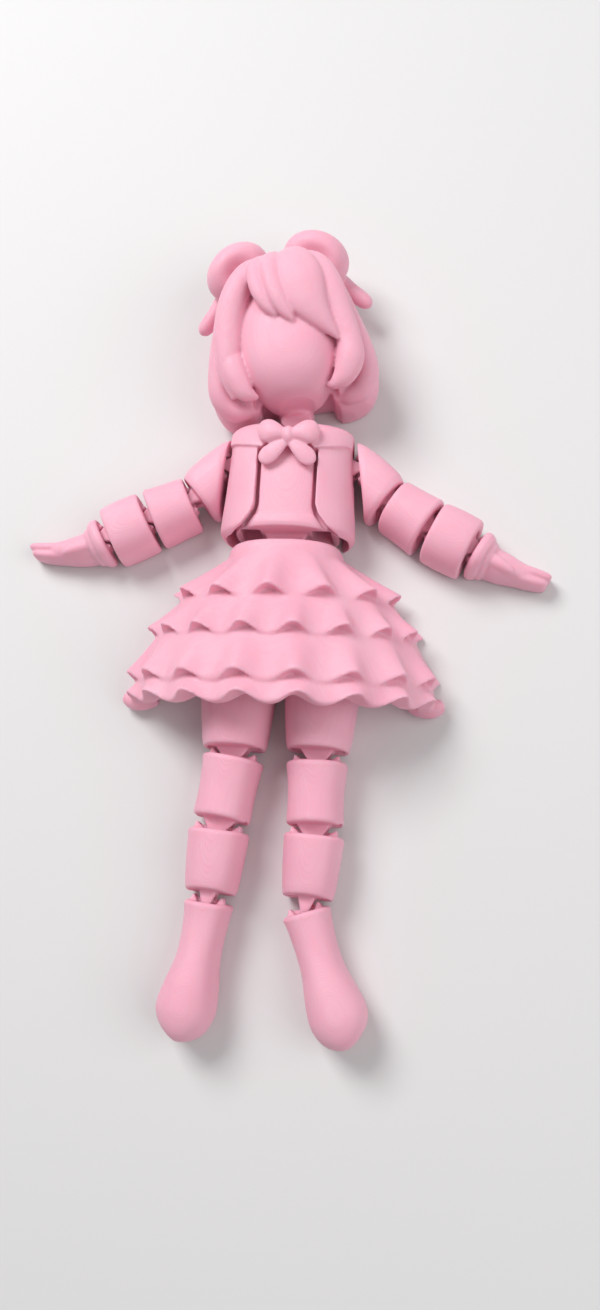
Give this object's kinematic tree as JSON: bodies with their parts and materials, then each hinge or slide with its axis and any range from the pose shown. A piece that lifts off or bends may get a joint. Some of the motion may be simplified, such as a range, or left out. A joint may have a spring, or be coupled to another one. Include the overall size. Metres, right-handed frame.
{
  "type": "articulated doll",
  "caption": "Jointed doll printed in place in pink plastic: bob hair with bow, blank face, open jacket, ruffled skirt, and loose hinges at neck, waist, arms and legs.",
  "frame": {"origin": "on the torso's flat back, midway between its sides, at the height of the jacket's opening", "axes": "+Z out of the front of the doll, +Y towards its head, +X towards its left hand"},
  "size_m": [0.136, 0.2017, 0.031],
  "materials": {
    "pla_pink": "matte, with fine printed layer lines"
  },
  "bodies": {
    "torso": {"torso": "pla_pink"},
    "head": {"head": "pla_pink"},
    "skirt": {"skirt": "pla_pink"},
    "right_upper_sleeve": {"right_upper_sleeve": "pla_pink"},
    "right_middle_sleeve": {"right_middle_sleeve": "pla_pink"},
    "right_lower_sleeve": {"right_lower_sleeve": "pla_pink"},
    "right_hand": {"right_hand": "pla_pink"},
    "right_thigh": {"right_thigh": "pla_pink"},
    "right_knee": {"right_knee": "pla_pink"},
    "right_shin": {"right_shin": "pla_pink"},
    "right_foot": {"right_foot": "pla_pink"},
    "left_upper_sleeve": {"left_upper_sleeve": "pla_pink"},
    "left_middle_sleeve": {"left_middle_sleeve": "pla_pink"},
    "left_lower_sleeve": {"left_lower_sleeve": "pla_pink"},
    "left_hand": {"left_hand": "pla_pink"},
    "left_thigh": {"left_thigh": "pla_pink"},
    "left_knee": {"left_knee": "pla_pink"},
    "left_shin": {"left_shin": "pla_pink"},
    "left_foot": {"left_foot": "pla_pink"}
  },
  "joints": [
    {"name": "neck", "type": "hinge", "parent": "torso", "child": "head", "pos_m": [0, 0.0145, 0.0075], "axis": [1, 0, 0], "range_deg": [-12, 12]},
    {"name": "right_shoulder", "type": "hinge", "parent": "torso", "child": "right_upper_sleeve", "pos_m": [-0.0167, 0.00557, 0.007], "axis": [-0.0872, -0.9962, 0], "range_deg": [-5, 6]},
    {"name": "right_elbow", "type": "hinge", "parent": "right_upper_sleeve", "child": "right_middle_sleeve", "pos_m": [-0.02535, -0.00395, 0.007], "axis": [0.4226, -0.9063, 0], "range_deg": [-11, 3]},
    {"name": "right_forearm_joint", "type": "hinge", "parent": "right_middle_sleeve", "child": "right_lower_sleeve", "pos_m": [-0.03632, -0.00907, 0.007], "axis": [0.4462, -0.8949, 0], "range_deg": [-13, 9]},
    {"name": "right_wrist", "type": "hinge", "parent": "right_lower_sleeve", "child": "right_hand", "pos_m": [-0.04701, -0.0144, 0.007], "axis": [0.4618, -0.887, 0], "range_deg": [-15, 10]},
    {"name": "left_shoulder", "type": "hinge", "parent": "torso", "child": "left_upper_sleeve", "pos_m": [0.0172, 0.0056, 0.007], "axis": [-0.1392, 0.9903, 0], "range_deg": [-9, 9]},
    {"name": "left_elbow", "type": "hinge", "parent": "left_upper_sleeve", "child": "left_middle_sleeve", "pos_m": [0.02582, -0.00305, 0.007], "axis": [0.5373, 0.8434, 0], "range_deg": [-11, 7]},
    {"name": "left_forearm_joint", "type": "hinge", "parent": "left_middle_sleeve", "child": "left_lower_sleeve", "pos_m": [0.03611, -0.00961, 0.007], "axis": [0.4305, 0.9026, 0], "range_deg": [-13, 5]},
    {"name": "left_wrist", "type": "hinge", "parent": "left_lower_sleeve", "child": "left_hand", "pos_m": [0.04685, -0.01473, 0.007], "axis": [0.4924, 0.8704, 0], "range_deg": [-15, 8]},
    {"name": "waist", "type": "hinge", "parent": "torso", "child": "skirt", "pos_m": [0, -0.0162, 0.0082], "axis": [0.9998, 0.0174, 0], "range_deg": [-15, 15]},
    {"name": "right_hip", "type": "hinge", "parent": "skirt", "child": "right_thigh", "pos_m": [-0.0097, -0.05067, 0.0066], "axis": [1, -0.0087, 0], "range_deg": [-14, 14]},
    {"name": "right_upper_knee_joint", "type": "hinge", "parent": "right_thigh", "child": "right_knee", "pos_m": [-0.00986, -0.06877, 0.0066], "axis": [0.9914, -0.1305, 0], "range_deg": [-14, 14]},
    {"name": "right_lower_knee_joint", "type": "hinge", "parent": "right_knee", "child": "right_shin", "pos_m": [-0.01215, -0.08622, 0.0066], "axis": [0.9976, -0.0698, 0], "range_deg": [-18, 18]},
    {"name": "right_ankle", "type": "hinge", "parent": "right_shin", "child": "right_foot", "pos_m": [-0.01334, -0.10318, 0.0066], "axis": [0.9945, -0.1045, 0], "range_deg": [-18, 17]},
    {"name": "left_hip", "type": "hinge", "parent": "skirt", "child": "left_thigh", "pos_m": [0.0109, -0.05031, 0.0066], "axis": [0.9998, -0.0174, 0], "range_deg": [-14, 14]},
    {"name": "left_upper_knee_joint", "type": "hinge", "parent": "left_thigh", "child": "left_knee", "pos_m": [0.01057, -0.06881, 0.0066], "axis": [0.9998, 0.0174, 0], "range_deg": [-18, 18]},
    {"name": "left_lower_knee_joint", "type": "hinge", "parent": "left_knee", "child": "left_shin", "pos_m": [0.01088, -0.08611, 0.0066], "axis": [0.9986, -0.0523, 0], "range_deg": [-16, 16]},
    {"name": "left_ankle", "type": "hinge", "parent": "left_shin", "child": "left_foot", "pos_m": [0.00994, -0.10393, 0.0066], "axis": [0.9455, 0.3256, 0], "range_deg": [-18, 12]}
  ]
}
